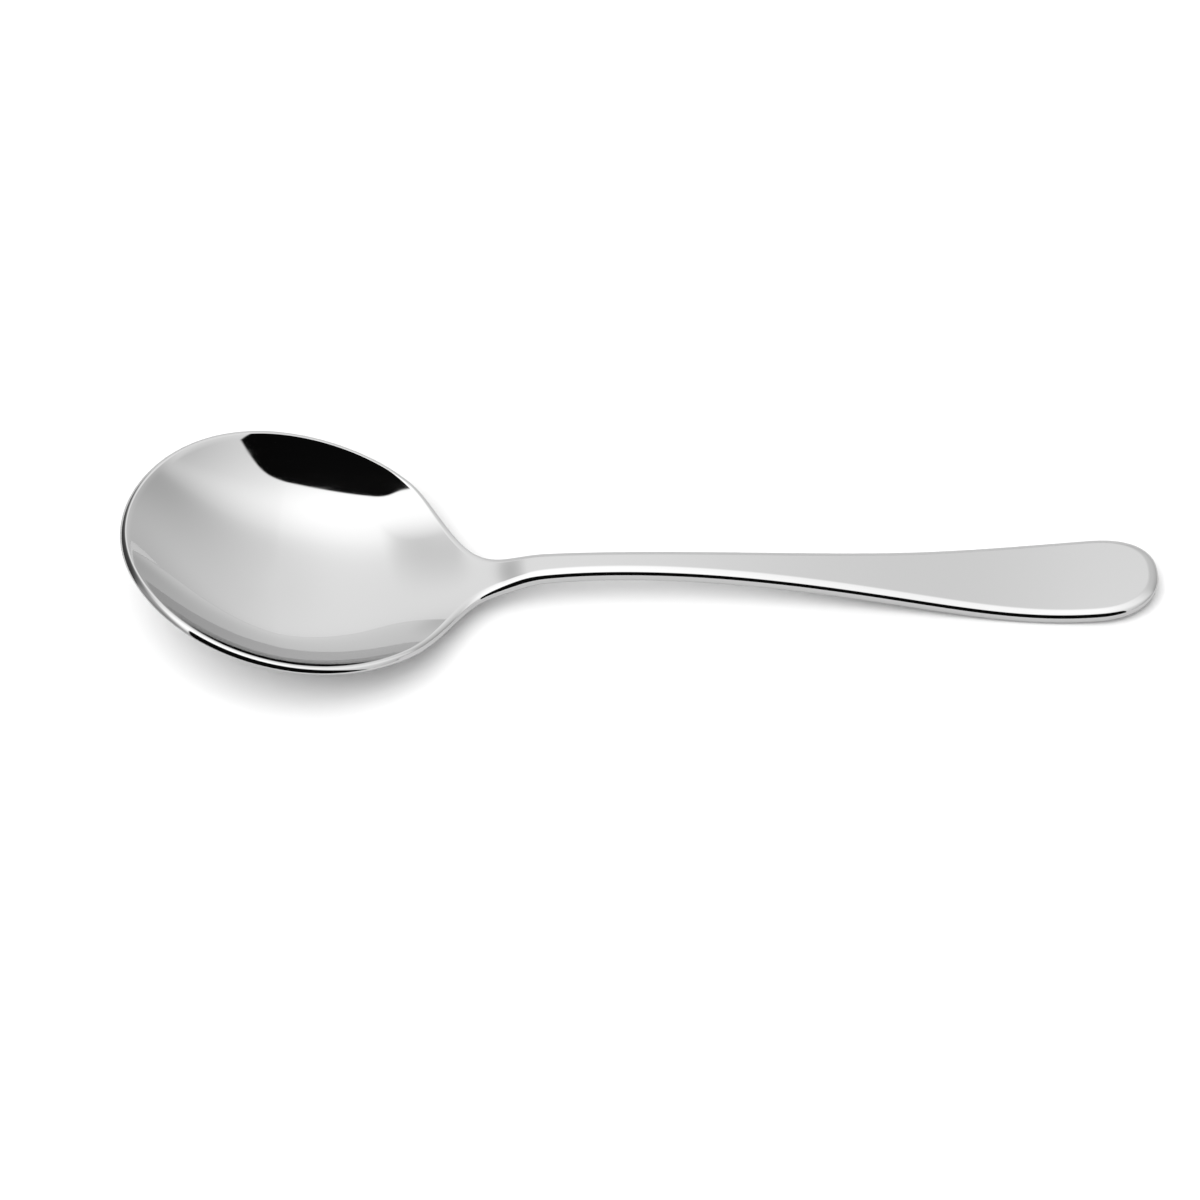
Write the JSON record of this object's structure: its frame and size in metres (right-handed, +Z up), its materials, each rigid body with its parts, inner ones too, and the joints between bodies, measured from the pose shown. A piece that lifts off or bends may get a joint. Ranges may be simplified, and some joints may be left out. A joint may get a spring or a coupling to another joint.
{
  "type": "soup spoon",
  "caption": "Mirror-polished steel soup spoon with a wide round bowl, a slim arched stem and a handle that widens to a rounded end.",
  "frame": {"origin": "middle of the spoon's outline, on the table it lies on", "axes": "+X along the spoon from the bowl to the handle end, +Z up out of the bowl, +Y across the bowl"},
  "size_m": [0.175, 0.0512, 0.0227],
  "materials": {
    "steel": "mirror-polished stainless steel"
  },
  "bodies": {
    "root": {"bowl": "steel", "neck": "steel", "handle": "steel"}
  },
  "joints": []
}
